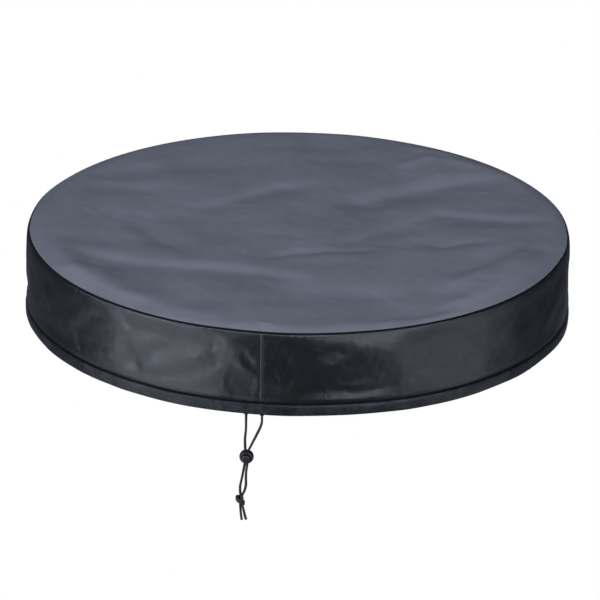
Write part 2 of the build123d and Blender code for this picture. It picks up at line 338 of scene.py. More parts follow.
viewSetup = {
    "azimuth": 7.3,           # degrees to the right of the front seam
    "elevation": 22.4,
    "roll": 1.08,
    "distance": 12.0,
    "lens": 490.0,
    "aimRight": 0.002,        # middle of the view, from the middle of the seam's circle
    "aimDown": 0.103,
}

studio = {
    "floorDrop": 2.0,
    "floorSize": 60.0,
    "floorTone": (0.16, 0.16, 0.17),
    "backdrop": (1.0, 1.0, 1.0),
    "roomTone": (0.54, 0.60, 0.70),
    "roomPower": 0.12,
    "lightTone": (0.80, 0.87, 1.0),
    # name: bearing from the front seam, distance, height, width, length, power in watts
    "lights": {
        "overhead": (180, 0.3, 2.4, 2.4, 2.0, 4.0),
        "keyLeft": (-52, 7.5, 2.6, 3.6, 1.6, 1080.0),
        "keyRight": (36, 7.5, 2.6, 3.2, 1.6, 1080.0),
        "backHigh": (187, 2.2, 2.4, 2.6, 1.2, 12.0),
        "frontFill": (-10, 3.0, 0.55, 2.6, 0.5, 5.0),
        "leftStand": (-47, 2.3, -1.10, 1.4, 1.35, 62.0),
        "rightStand": (73, 2.3, -0.75, 0.8, 2.2, 32.0),
    },
}


def makeCamera(v):
    # The camera stands off along its azimuth and elevation and looks past a point
    # right of and below the seam's centre, so the lens needs no shift.
    a, e, roll = (math.radians(v[key]) for key in ("azimuth", "elevation", "roll"))
    back = Vector((math.sin(a) * math.cos(e), -math.cos(a) * math.cos(e), math.sin(e)))
    level = Vector((math.cos(a), math.sin(a), 0.0))
    upright = back.cross(level)
    right = level * math.cos(roll) + upright * math.sin(roll)
    up = upright * math.cos(roll) - level * math.sin(roll)
    aim = Vector((0, 0, crownZ)) + right * v["aimRight"] - up * v["aimDown"]
    data = bpy.data.cameras.new("frontCamera")
    data.lens = v["lens"]
    data.clip_end = 200.0
    camera = bpy.data.objects.new("frontCamera", data)
    bpy.context.scene.collection.objects.link(camera)
    turn = Matrix((right, up, back)).transposed().to_4x4()
    camera.matrix_world = Matrix.Translation(aim + back * v["distance"]) @ turn
    bpy.context.scene.camera = camera


def chosen(tree, share, first, second):
    choose = tree.nodes.new("ShaderNodeMixShader")
    feed(choose, {0: share, 1: first, 2: second})
    return choose.outputs[0]


def paleWhenSeen(tree, other, tone):
    # The lens sees a plain pale tone, and the object is lit by the other, dim shader, so
    # that a white surround doesn't wash out the dark cloth.
    pale = tree.nodes.new("ShaderNodeEmission")
    feed(pale, {"Color": tone})
    ray = tree.nodes.new("ShaderNodeLightPath")
    return chosen(tree, ray.outputs["Is Camera Ray"], other.outputs[0], pale.outputs[0])


def clearFromBelow(tree, seen):
    # The floor can be looked through from its underside
    side = tree.nodes.new("ShaderNodeNewGeometry")
    clear = tree.nodes.new("ShaderNodeBsdfTransparent")
    return chosen(tree, side.outputs["Backfacing"], seen, clear.outputs[0])


def makeStudio(s):
    world = bpy.data.worlds.new("paleRoom")
    world.use_nodes = True
    tree = world.node_tree
    room = tree.nodes["Background"]
    feed(room, {"Color": s["roomTone"], "Strength": s["roomPower"]})
    feed(tree.nodes["World Output"], {"Surface": paleWhenSeen(tree, room, s["backdrop"])})
    bpy.context.scene.world = world

    for name, (bearing, distance, height, width, length, power) in s["lights"].items():
        lamp = bpy.data.lights.new(name, "AREA")
        lamp.shape = "RECTANGLE"
        lamp.size, lamp.size_y, lamp.energy = width, length, power
        lamp.color = s["lightTone"]
        light = bpy.data.objects.new(name, lamp)
        turn = math.radians(bearing)
        place = Vector((distance * math.sin(turn), -distance * math.cos(turn), height))
        light.location = place
        light.rotation_euler = (-place).to_track_quat("-Z", "Y").to_euler()
        light.visible_camera = False
        bpy.context.scene.collection.objects.link(light)

    half, drop = s["floorSize"] / 2, -s["floorDrop"]
    corners = [(-half, -half, drop), (half, -half, drop), (half, half, drop), (-half, half, drop)]
    mesh = bpy.data.meshes.new("paleFloor")
    mesh.from_pydata(corners, [], [(0, 1, 2, 3)])
    floor = bpy.data.objects.new("paleFloor", mesh)
    bpy.context.scene.collection.objects.link(floor)
    mat, tree, shader = newMaterial("paleFloor")
    feed(shader, {"Base Color": s["floorTone"], "Roughness": 0.9})
    seen = paleWhenSeen(tree, shader, s["backdrop"])
    feed(tree.nodes["Material Output"], {"Surface": clearFromBelow(tree, seen)})
    mesh.materials.append(mat)
    bpy.context.scene.view_settings.view_transform = "Standard"


makeCamera(viewSetup)
makeStudio(studio)
print("camera, light and floor made")


# Drawcord

# Routes of the free ends: x, y from the plane they hang in, drop below the hem
leftLine, rightLine = lockX - 0.00185, lockX + 0.00185     # side by side in the lock
cordRoutes = {
    "drawcord_left_upper": [
        (-0.0198, 0.00025, 0.0), (-0.0198, 0.00025, 0.0115), (-0.0196, 0, 0.0240),
        (-0.0209, -0.0001, 0.0372), (-0.0207, 0, 0.0486), (leftLine, 0, 0.0576),
        (leftLine, 0, 0.0660),
    ],
    "drawcord_right_upper": [
        (0.0032, -0.00024, 0.0), (0.0032, -0.00024, 0.0050), (0.0033, 0, 0.0112),
        (0.0014, 0, 0.0186), (-0.0026, 0.0001, 0.0280), (-0.0077, 0.0001, 0.0393),
        (-0.0125, 0, 0.0500), (-0.0156, 0, 0.0566), (rightLine, 0, 0.0614),
        (rightLine, 0, 0.0660),
    ],
    "drawcord_left_lower": [
        (leftLine, 0, 0.0660), (leftLine, 0, 0.0740), (-0.0213, 0, 0.0822),
        (-0.0228, 0.0002, 0.0910), (-0.0250, 0.0005, 0.1030), (-0.0272, 0.0009, 0.1144),
        (-0.0269, 0.0016, 0.1224), (-0.0260, 0.00195, 0.1295), (-0.0266, 0.00195, 0.1375),
        (-0.0264, 0.0017, 0.1460), (-0.0254, 0.0012, 0.1566), (-0.0238, 0.0009, 0.1668),
    ],
    "drawcord_right_lower": [
        (rightLine, 0, 0.0660), (rightLine, 0, 0.0740), (-0.0174, 0, 0.0822),
        (-0.0185, -0.0001, 0.0908), (-0.0187, -0.0004, 0.1000), (-0.0181, -0.0008, 0.1104),
        (-0.0198, -0.0013, 0.1189), (-0.0229, -0.0018, 0.1253), (-0.0249, -0.00195, 0.1312),
        (-0.0240, -0.00195, 0.1380), (-0.0222, -0.0016, 0.1452), (-0.0200, -0.0013, 0.1550),
        (-0.0173, -0.0010, 0.1650),
    ],
}
cordShape = {
    "diameter": 0.0035,
    "width": 0.0039,          # across the slightly flattened cord
    "thickness": 0.0034,
    "twist": 60.0,            # radians that the flat side turns in each metre
    "yarns": 8,               # yarns each way round the braid
    "lay": 0.011,             # length in which a yarn goes once round
    "relief": 0.00016,
    "around": 32,
    "step": 0.00034,          # between rings
    "tip": 0.0009,            # rounding of a heat-sealed tip
    "bendLength": 0.010,      # of the stretch that bends at the hem
}
cordFinish = {
    "tone": (0.0026, 0.0026, 0.0030),
    "dust": (0.0075, 0.0075, 0.0085),
}


def braidMaterial(name, c):
    # Braided cord. The yarns are in the mesh; the shader adds filaments along them, a
    # dusty tone in places, and the dull shine of polyester.
    mat, tree, shader = newMaterial(name)
    solid = solidPlace(tree)
    filaments = noise(tree, solid, 1500.0, 3.0)
    dust = noise(tree, solid, 130.0, 3.0)
    both = arithmetic(tree, "MULTIPLY", filaments, dust)
    feed(shader, {
        "Base Color": tones(tree, both, [(0.15, c["tone"]), (0.42, c["dust"])]),
        "Normal": bump(tree, filaments, 0.00006),
        "Roughness": spread(tree, dust, 0.3, 0.7, 0.52, 0.70),
        "Specular IOR Level": 0.16,
        "Sheen Weight": 0.03,
    })
    return mat


def splineLine(name, route):
    # The route's points are the control points of one NURBS line. It is read back as
    # points along it from the mesh of the unbevelled curve.
    curve = bpy.data.curves.new(name, "CURVE")
    curve.dimensions = "3D"
    curve.resolution_u = 24
    spline = curve.splines.new("NURBS")
    spline.points.add(len(route) - 1)
    for point, (x, y, drop) in zip(spline.points, route):
        point.co = (x, hangY + y, hemZ - drop, 1)
    spline.order_u = 3
    spline.use_endpoint_u = True
    holder = bpy.data.objects.new(name, curve)
    bpy.context.scene.collection.objects.link(holder)
    mesh = bpy.data.meshes.new_from_object(holder)
    line = np.zeros(len(mesh.vertices) * 3)
    mesh.vertices.foreach_get("co", line)
    bpy.data.objects.remove(holder)
    bpy.data.meshes.remove(mesh)
    return line.reshape(-1, 3)


def evenly(line, step):
    # The same line with its points one step apart, and their distances along it
    along = distances(line)
    at = np.linspace(0, along[-1], max(3, int(round(along[-1] / step)) + 1))
    return readAt(at, along, line), at


def cordRings(line, c, turn=0.0, startTip=False, endTip=False, up=(0, 1, 0)):
    # Rings of a braided cord. A ring is an ellipse whose long side turns slowly along
    # the cord. Two families of slanting yarns, cos(n a + k s) and cos(n a - k s), raise
    # it where they cross over. A tip closes as a quarter circle.
    points, at = evenly(line, c["step"])
    tangent = unit(np.gradient(points, axis=0))
    side = unit(np.cross(tangent, up))
    front = np.cross(side, tangent)
    angle = np.arange(c["around"]) * 2 * math.pi / c["around"]
    local = angle[None, :] - (turn + c["twist"] * at)[:, None]
    long, short = c["width"] / 2, c["thickness"] / 2
    radius = long * short / np.hypot(short * np.cos(local), long * np.sin(local))
    yarn = c["yarns"] * angle[None, :]
    slant = (c["yarns"] * 2 * math.pi * at / c["lay"])[:, None]
    raised = np.maximum(np.cos(yarn + slant), np.cos(yarn - slant))
    radius = radius + c["relief"] * (raised - 0.5)
    closing = np.ones(len(at))
    for tip, away in ((startTip, at), (endTip, at[-1] - at)):
        if tip:
            rest = np.clip(away / c["tip"], 0, 1)
            closing *= np.sqrt(np.clip(1 - (1 - rest) ** 2, 0.01, 1))
    radius = (radius * closing[:, None])[..., None]
    angle = angle[None, :, None]
    across = np.cos(angle) * side[:, None] + np.sin(angle) * front[:, None]
    return points[:, None] + radius * across, points, at


cordMat = braidMaterial("blackBraid", cordFinish)
strands, strandLines, hemBends = {}, {}, []
for k, (name, route) in enumerate(cordRoutes.items()):
    rings, line, at = cordRings(
        splineLine(name, route), cordShape, 0.4 + 1.1 * k, endTip=name.endswith("lower")
    )
    if name.endswith("upper"):
        cut = int(np.searchsorted(at, cordShape["bendLength"]))
        bend = tubeObject("bend_" + name, rings[: cut + 1])
        finishPiece(bend, cordMat, body=None)
        hemBends.append((bend, line[0], line[cut]))
        rings, line = rings[cut:], line[cut:]
    strand = tubeObject("cord_" + name, rings)
    finishPiece(strand, cordMat, name, None)
    strands[name], strandLines[name] = strand, line
print("drawcord's free ends made")


# Knot

knotShape = {
    "centre": (-0.0264, 0.1354),      # x, and drop below the hem
    "across": 0.0052,                 # half width of the coil's middle line
    "deep": 0.0040,
    "turns": 1.60,
    "rise": 0.0066,
    "tilt": 0.0026,                   # how much higher the coil's left side is
    "start": 0.9,                     # share of a turn where it starts, from the right
    "pair": 0.00335,                  # between the two cords of the coil
    "tuck": 0.35,                     # radius at both ends, as a share
}


def knotLines(k):
    # Both cords run together round the hanging strands as a tilted coil: x and y on an
    # ellipse, z falling with the turn, and the ends drawn in under the other turns
    t = np.linspace(0, 1, 160)
    turn = 2 * math.pi * (k["start"] + k["turns"] * t)
    draw = k["tuck"] + (1 - k["tuck"]) * smooth(t, 0, 0.22) * smooth(1 - t, 0, 0.22)
    x = k["centre"][0] + k["across"] * draw * np.cos(turn)
    y = hangY + k["deep"] * draw * np.sin(turn)
    z = hemZ - k["centre"][1] + k["rise"] * (0.5 - t) - k["tilt"] * np.cos(turn)
    middle = np.stack([x, y, z], -1)
    return [middle + (0, 0, side * k["pair"] / 2) for side in (1, -1)]


knotTubes = []
for line in knotLines(knotShape):
    rings, _, _ = cordRings(line, cordShape, 0.5, True, True, up=(0, 0, 1))
    knotTubes.append(rings)
knot = tubeObject("cordKnot", *knotTubes)
finishPiece(knot, cordMat, "cord_knot", "cord_ends")
print("knot made")


# How the cloth lies

clothShape = {
    "thickness": 0.0008,
    "turnOut": 0.3985,        # top panel's outside where it turns down into the seam
    "tuckBack": 0.0015,       # and how far it draws back in under the turn
    "turnRadius": 0.0020,
    "rimWidth": 0.026,        # band of the top panel that bends down
    "rimSlope": 22.0,         # degrees it has turned at the seam
    "crownDrop": 0.0010,      # of the skirt's fold below the top panel's
    "allowance": 0.0104,      # from the crown to the edge of the cloth inside the seam
    "tuckIn": 0.3973,         # inside of the skirt's turned-in edge
    "hemHeight": 0.020,       # bottom to the hem's stitching
    "hemIn": 0.3938,          # inside of the hem
    "hemStrip": 0.003,        # hem cloth above its stitching
    "hemTaper": 0.006,        # height over which the hem closes to the stitching
    "turnedIn": 0.009,        # skirt cloth turned in at the upright seams
    "topstitch": 0.003,       # rows beside the upright seams
}
stitchDepth = skirtHeight - clothShape["hemHeight"]
stitchZ = crownZ - stitchDepth

skirtLie = {
    "seamPull": 0.0028,       # the stitching draws the crown in
    "seamPullDepth": 0.010,
    "seamWave": 0.0005,
    "uprightPull": 0.0004,    # and draws the upright seams in
    "uprightWidth": 0.0045,
    "stitchDent": 0.0019,
    "stitchDentWidth": 0.0027,
    "hemSwell": 0.0006,
    "hemWave": 0.0008,
    # bearings of the packing folds, and how flat the cloth lies between them
    "foldBearings": (-180, -141, -106, -70, -33, -7.5, 29.5, 50, 84, 118, 150, 180),
    "flatDepth": 0.0034,
    # how far each stretch between two folds leans out towards the hem
    "leans": (0.3, -0.5, 0.1, -0.5, 1.0, -0.9, 0.9, -0.1, 0.2, -0.5, 0.4),
    "leanDepth": 0.0030,
    "foldWidth": 2.5,         # degrees each side of a fold in which the lean changes
    "rumple": 0.0007,
    "fineRumple": 0.00014,
    "bulge": 0.0020,          # of the wall between its two seams
    "pucker": 0.00016,        # small gathers beside the rows of stitching
    "puckerPitch": 0.0135,
    # folds as (bearing distance, depth) lines in metres, height, widths, fade
    "folds": [
        ([(-0.220, 0.044), (-0.2025, 0.070), (-0.187, 0.096)], -0.0016, 0.012, 0.008, 0.3),
        ([(-0.2527, 0.0695), (-0.2283, 0.0927)], 0.0010, 0.009, 0.007, 0.4),
        ([(-0.2262, 0.011), (-0.2122, 0.042)], 0.0012, 0.010, 0.006, 0.3),
        ([(-0.1264, 0.006), (-0.1306, 0.024)], -0.0008, 0.003, 0.004, 0.4),
        ([(-0.0942, 0.003), (-0.087, 0.024)], -0.0012, 0.003, 0.004, 0.4),
        ([(-0.0754, 0.022), (-0.0663, 0.0313)], -0.0007, 0.003, 0.003, 0.4),
        ([(-0.0384, 0.0468), (-0.0035, 0.069)], 0.0009, 0.004, 0.007, 0.3),
        ([(-0.0279, 0.025), (-0.0035, 0.0626)], -0.0010, 0.008, 0.004, 0.3),
        ([(0.0957, 0.0792), (0.1752, 0.0845)], 0.0006, 0.003, 0.005, 0.4),
        ([(0.012, 0.050), (0.030, 0.082)], -0.0005, 0.004, 0.004, 0.4),
        ([(0.393, 0.0645), (0.468, 0.0568)], 0.0008, 0.005, 0.008, 0.4),
        ([(0.300, 0.020), (0.345, 0.075)], 0.0007, 0.006, 0.010, 0.4),
        ([(-0.330, 0.060), (-0.300, 0.100)], -0.0010, 0.008, 0.008, 0.4),
        ([(-0.420, 0.020), (-0.380, 0.080)], 0.0010, 0.008, 0.010, 0.4),
        ([(0.600, 0.030), (0.640, 0.095)], -0.0010, 0.009, 0.009, 0.4),
        ([(0.830, 0.020), (0.800, 0.080)], 0.0010, 0.008, 0.012, 0.4),
        ([(1.020, 0.040), (1.080, 0.090)], -0.0009, 0.008, 0.008, 0.4),
        ([(-0.640, 0.035), (-0.600, 0.090)], 0.0009, 0.008, 0.010, 0.4),
        ([(-0.860, 0.020), (-0.900, 0.085)], -0.0010, 0.009, 0.009, 0.4),
        ([(-1.080, 0.030), (-1.040, 0.080)], 0.0010, 0.008, 0.010, 0.4),
    ],
}


def skirtRelief(bearing, depth, s):
    # How far the skirt lies outside its plain cylinder, from the bearing in radians
    # (0 at the front seam, + to the right) and the depth below its crown. It adds the
    # pull of each line of stitching, flats between packing folds (a parabola between
    # two folds), their lean, single folds, and a low rumple. All of it dies away at the
    # seams, and the lower edge lies plain where the cord comes out.
    u = bearing * coverRadius
    depth = np.clip(depth, 0, skirtHeight)
    free = smooth(depth, 0.0, 0.030) * (1 - 0.75 * smooth(depth, stitchDepth - 0.022, stitchDepth))
    back = math.pi * coverRadius
    upright = np.minimum(np.abs(u), back - np.abs(u))
    byExit = np.exp(-((u / 0.045) ** 4)) * smooth(depth, stitchDepth - 0.03, stitchDepth + 0.004)
    total = -s["seamPull"] * np.exp(-depth / s["seamPullDepth"])
    total += s["seamWave"] * np.exp(-depth / 0.02) * np.sin(9 * bearing + 2 * np.sin(4 * bearing))
    total -= s["uprightPull"] * np.exp(-((upright / s["uprightWidth"]) ** 2)) * (1 - byExit)
    total -= s["stitchDent"] * np.exp(-(((depth - stitchDepth) / s["stitchDentWidth"]) ** 2))
    swell = smooth(depth, stitchDepth, stitchDepth + 0.006)
    swell *= 1 - smooth(depth, skirtHeight - 0.008, skirtHeight)
    total += s["hemSwell"] * swell

    folds = np.radians(s["foldBearings"])
    place = np.clip(np.searchsorted(folds, bearing) - 1, 0, len(folds) - 2)
    low, high = folds[place], folds[place + 1]
    share = (bearing - low) / (high - low)
    flat = -s["flatDepth"] * 4 * share * (1 - share)
    lean = s["leans"][0]
    width = math.radians(s["foldWidth"])
    for fold, before, after in zip(folds[1:], s["leans"], s["leans"][1:]):
        lean = lean + (after - before) * smooth(bearing, fold - width, fold + width)
    backFade = 1 - smooth(np.abs(bearing), math.radians(168), math.radians(179))
    share = depth / stitchDepth
    total += s["bulge"] * np.clip(4 * share * (1 - share), 0, 1) * (1 - byExit)
    total += free * (flat + backFade * lean * s["leanDepth"] * (depth - skirtHeight / 2) / (skirtHeight / 2))

    loose = free * smooth(upright, 0.002, 0.014)
    total += free * backFade * creases(u, depth, s["folds"])
    total += loose * s["rumple"] * waves(u, depth * 1.3, 11, 9, 0.16, 0.040)
    total += loose * s["fineRumple"] * waves(u, depth, 23, 9, 0.036, 0.012)
    hem = smooth(depth, stitchDepth - 0.004, stitchDepth + 0.004) * (1 - byExit)
    total += hem * s["hemWave"] * np.sin(13 * bearing + 1.6 * np.sin(5 * bearing + 1))
    pucker = np.exp(-(((depth - stitchDepth) / 0.007) ** 2)) + np.exp(-depth / 0.008)
    gathers = np.sin(2 * math.pi * u / s["puckerPitch"] + 3 * np.sin(u / 0.055))
    total += s["pucker"] * pucker * gathers * (1 - byExit)
    return total


def settle(points):
    # Moves points given on the plain cylinder to where the cloth lies. Every piece that
    # is sewn to the skirt goes through this, so that layers stay together.
    x, y, z = points[..., 0], points[..., 1], points[..., 2]
    radius = np.hypot(x, y)
    bearing = np.arctan2(x, -y)
    share = smooth(radius, 0.30, 0.392) / np.maximum(radius, 0.001)
    grow = 1 + skirtRelief(bearing, crownZ - z, skirtLie) * share
    return np.stack([x * grow, y * grow, z], -1)


def around(bearing, radius, z):
    # Points of the plain cylinder from bearing, radius and height
    bearing, radius, z = np.broadcast_arrays(bearing, radius, z)
    return np.stack([radius * np.sin(bearing), -radius * np.cos(bearing), z], -1)


def topProfile(s, c):
    # The panel's outer face at distance s from its middle along the cloth: flat, then
    # an arc down to the seam, a tight turn, and straight down inside the seam. Returns
    # radius, height and the outward normal's two parts.
    rimStart = coverRadius - c["rimWidth"]
    slope = math.radians(c["rimSlope"])
    rimRadius = (c["turnOut"] - c["turnRadius"] - rimStart) / math.sin(slope) + c["turnRadius"]
    rimLength = rimRadius * slope
    turnLength = c["turnRadius"] * (math.pi / 2 - slope)
    angle = np.clip((s - rimStart) / rimRadius, 0, slope)
    angle = angle + np.clip((s - rimStart - rimLength) / c["turnRadius"], 0, math.pi / 2 - slope)
    onRim = np.minimum(angle, slope)
    hub = rimRadius - c["turnRadius"]
    radius = np.minimum(s, rimStart) + hub * np.sin(onRim) + c["turnRadius"] * np.sin(angle)
    z = topZ - rimRadius + hub * np.cos(onRim) + c["turnRadius"] * np.cos(angle)
    fall = np.maximum(s - rimStart - rimLength - turnLength, 0)
    radius = radius - c["tuckBack"] * smooth(fall, 0, 0.004)
    z = z - fall
    return radius, z, np.sin(angle), np.cos(angle), (rimStart, rimLength, turnLength)


# Cloth finishes, with painted light and painted shade

topFinish = {
    "pitch": 0.0009, "weaveHeight": 0.00005,
    "mottleScale": 9.0, "glossScale": 5.0, "roughness": (0.46, 0.60),
    "crinkleScale": 40.0, "crinkleHeight": 0.0005,
    # painted light: the top is the skirt's near-black cloth, made grey to stand for the light falling on it
    "tones": ((0.0800, 0.0790, 0.0900), (0.0900, 0.0890, 0.1020), (0.1000, 0.0990, 0.1140)),
    "specular": 0.14, "sheen": 0.02,
}
skirtFinish = {
    "pitch": 0.0009, "weaveHeight": 0.00005,
    "mottleScale": 13.0, "glossScale": 7.0, "roughness": (0.22, 0.32),
    "crinkleScale": 46.0, "crinkleHeight": 0.0005,
    "tones": ((0.0009, 0.0010, 0.0012), (0.0013, 0.0014, 0.0017), (0.0020, 0.0021, 0.0025)),
    "specular": 0.24, "sheen": 0.02,
}
hemLightAndWrinkles = {
    "mottleScale": 40.0,
    # painted light: lighter, mottled tones of the same cloth, standing for the light on the hem
    "tones": ((0.0026, 0.0027, 0.0032), (0.0050, 0.0052, 0.0060), (0.0100, 0.0102, 0.0116)),
    "wrinkleScale": 90.0, "wrinkleHeight": 0.0013, "dull": 0.6,
}
# Painted shade in the grooves of stitching: a dark tone and almost no specular
grooveShadePaint = {
    "tone": (0.0012, 0.0013, 0.0018),
    "specular": 0.01,
    "stitchHalf": 0.0026,     # of the groove that the hem's stitching draws in
    "crown": 0.0002,          # cloth beyond the crown that lies in the seam's groove
}


def depthOf(tree, flat):
    split = tree.nodes.new("ShaderNodeSeparateXYZ")
    feed(split, {0: flat})
    return split.outputs["Y"]


def grooveShadeMask(tree, flat, g, hem):
    # Mask of painted shade, 1 on cloth that lies in a groove of stitching: on the top
    # panel beyond the length of cloth at which it turns into the seam, on the skirt at its
    # crown and in a band at the hem's stitching
    if hem is None:
        size = tree.nodes.new("ShaderNodeVectorMath")
        size.operation = "LENGTH"
        feed(size, {0: flat})
        start, rim, _ = topProfile(np.zeros(1), clothShape)[4]
        edge = start + rim
        return spread(tree, size.outputs["Value"], edge - 0.0002, edge + 0.0006, 0, 1)
    depth = depthOf(tree, flat)
    crown = spread(tree, depth, g["crown"] - 0.0003, g["crown"] + 0.0003, 1, 0)
    away = arithmetic(tree, "ABSOLUTE", arithmetic(tree, "SUBTRACT", depth, stitchDepth))
    half = g["stitchHalf"]
    stitch = spread(tree, away, 0.6 * half, 1.2 * half, 1, 0)
    return arithmetic(tree, "MAXIMUM", crown, stitch)


def clothMaterial(name, c, g, hem=None):
    # Coated plain weave. A slow noise mottles the colour and the coating's gloss, a
    # finer one gives the crinkles of handled cloth, and the weave lies over both. With
    # a hem, the cloth below the hem's stitching has its own wrinkles and painted light:
    # lighter tones that stand for the light on the hem, chosen by the depth that the UV
    # map's second number holds. Grooves get painted shade: a dark tone and little specular.
    mat, tree, shader = newMaterial(name)
    place = tree.nodes.new("ShaderNodeTexCoord")
    flat, solid = place.outputs["UV"], place.outputs["Object"]
    mottle = noise(tree, solid, c["mottleScale"], 6.0, 0.6, 0.4)
    colour = tones(tree, mottle, list(zip((0.32, 0.5, 0.68), c["tones"])))
    crinkle = noise(tree, solid, c["crinkleScale"], 5.0, 0.62, 0.8)
    under = bump(tree, crinkle, c["crinkleHeight"])
    groove = dull = grooveShadeMask(tree, flat, g, hem)
    if hem is not None:
        below = spread(tree, depthOf(tree, flat), stitchDepth - 0.0006, stitchDepth + 0.0006, 0, 1)
        patch = noise(tree, solid, hem["mottleScale"], 5.0, 0.65, 0.6)
        hemLitColour = tones(tree, patch, list(zip((0.34, 0.5, 0.66), hem["tones"])))
        colour = mixed(tree, below, colour, hemLitColour)
        wrinkle = noise(tree, solid, hem["wrinkleScale"], 4.0, 0.6, 0.5)
        onHem = arithmetic(tree, "MULTIPLY", wrinkle, below)
        under = bump(tree, onHem, hem["wrinkleHeight"], under)
        dull = arithmetic(tree, "MAXIMUM", groove, arithmetic(tree, "MULTIPLY", below, hem["dull"]))
    lighter = tuple(1.5 * t for t in g["tone"])
    shade = tones(tree, mottle, [(0.4, g["tone"]), (0.6, lighter)])
    gloss = noise(tree, solid, c["glossScale"], 3.0, 0.5, 0.2)
    knuckles = weaveHeight(tree, flat, c["pitch"])
    # The groove mask paints shade here: a dark tone and almost no specular
    feed(shader, {
        "Base Color": mixed(tree, groove, colour, shade),
        "Specular IOR Level": spread(tree, dull, 0, 1, c["specular"], g["specular"]),
        "Roughness": spread(tree, gloss, 0.3, 0.7, *c["roughness"]),
        "Normal": bump(tree, knuckles, c["weaveHeight"], under),
        "Sheen Weight": c["sheen"],
        "Sheen Roughness": 0.45,
        "Sheen Tint": (0.78, 0.82, 0.95),
    })
    return mat


# Top panel

topLie = {
    "grid": 199,
    "flatRings": 72,          # rings of the grid on the flat, on the rim and in the turn
    "rimRings": 17,
    "turnRings": 5,
    "edgeRings": 5,
    "wave": 0.0014,
    "rumple": 0.00035,
    "fineRumple": 0.00009,
    # folds as (x, y) lines in metres, height, width on the left, width on the right,
    # fade; a hollow with a wide right side of a line that runs to the right is a step
    # down towards the front and a slow climb after it
    "folds": [
        ([(-0.352, -0.139), (-0.275, -0.160), (-0.198, -0.176), (-0.069, -0.180), (0.000, -0.190),
          (0.072, -0.216)], -0.0058, 0.015, 0.050, 0.20),
        ([(0.043, 0.061), (0.068, 0.116), (0.109, 0.157), (0.167, 0.196), (0.221, 0.230), (0.300, 0.262)],
         -0.0084, 0.018, 0.042, 0.25),
        ([(0.042, -0.082), (0.082, -0.036), (0.127, 0.014), (0.166, 0.063), (0.189, 0.091), (0.249, 0.083),
          (0.312, 0.082), (0.368, 0.092)], -0.0044, 0.014, 0.038, 0.15),
        ([(-0.052, -0.136), (0.000, -0.104), (0.054, -0.087), (0.109, -0.071), (0.137, -0.069)],
         -0.0029, 0.009, 0.014, 0.25),
        ([(0.197, -0.049), (0.234, -0.027), (0.272, -0.012), (0.297, -0.013)], -0.0024, 0.009, 0.016, 0.25),
        ([(0.228, -0.213), (0.268, -0.176), (0.307, -0.125), (0.346, -0.065), (0.370, -0.030)],
         0.0085, 0.024, 0.036, 0.25),
        ([(-0.345, 0.104), (-0.283, 0.112), (-0.214, 0.115)], -0.0020, 0.013, 0.034, 0.3),
        ([(-0.173, 0.033), (-0.127, 0.073), (-0.088, 0.119), (-0.057, 0.148), (0.009, 0.168)],
         -0.0050, 0.014, 0.028, 0.25),
        ([(-0.280, -0.017), (-0.227, -0.031), (-0.191, -0.078), (-0.152, -0.109), (-0.108, -0.139)],
         -0.0036, 0.030, 0.020, 0.3),
        ([(-0.040, -0.235), (0.050, -0.248), (0.130, -0.238), (0.200, -0.205)], -0.0070, 0.040, 0.070, 0.3),
        ([(-0.352, -0.100), (-0.300, -0.210), (-0.213, -0.300), (-0.128, -0.344), (-0.030, -0.366)],
         0.0036, 0.034, 0.018, 0.15),
        ([(0.240, -0.278), (0.293, -0.219), (0.336, -0.143), (0.360, -0.070)], 0.0058, 0.024, 0.026, 0.2),
        ([(-0.221, -0.342), (-0.200, -0.312)], 0.0024, 0.006, 0.006, 0.4),
        ([(-0.014, -0.367), (0.029, -0.395)], 0.0024, 0.007, 0.007, 0.4),
        ([(0.170, -0.355), (0.196, -0.315)], 0.0024, 0.007, 0.007, 0.4),
        ([(0.113, 0.258), (0.144, 0.295), (0.175, 0.322)], 0.0030, 0.014, 0.010, 0.3),
        ([(0.176, 0.317), (0.207, 0.296), (0.238, 0.281)], 0.0027, 0.008, 0.014, 0.3),
        ([(-0.300, 0.160), (-0.200, 0.230), (-0.120, 0.262)], -0.0036, 0.020, 0.040, 0.3),
    ],
}


def topHeights(x, y, t):
    # Height of the cloth above its flat shape: long waves, folds and a fine rumple
    height = t["wave"] * waves(x, y, 5, 7, 0.42, 0.16)
    height += t["rumple"] * waves(x, y, 7, 11, 0.11, 0.030)
    height += t["fineRumple"] * waves(x, y, 9, 11, 0.028, 0.010)
    return height + creases(x, y, t["folds"])


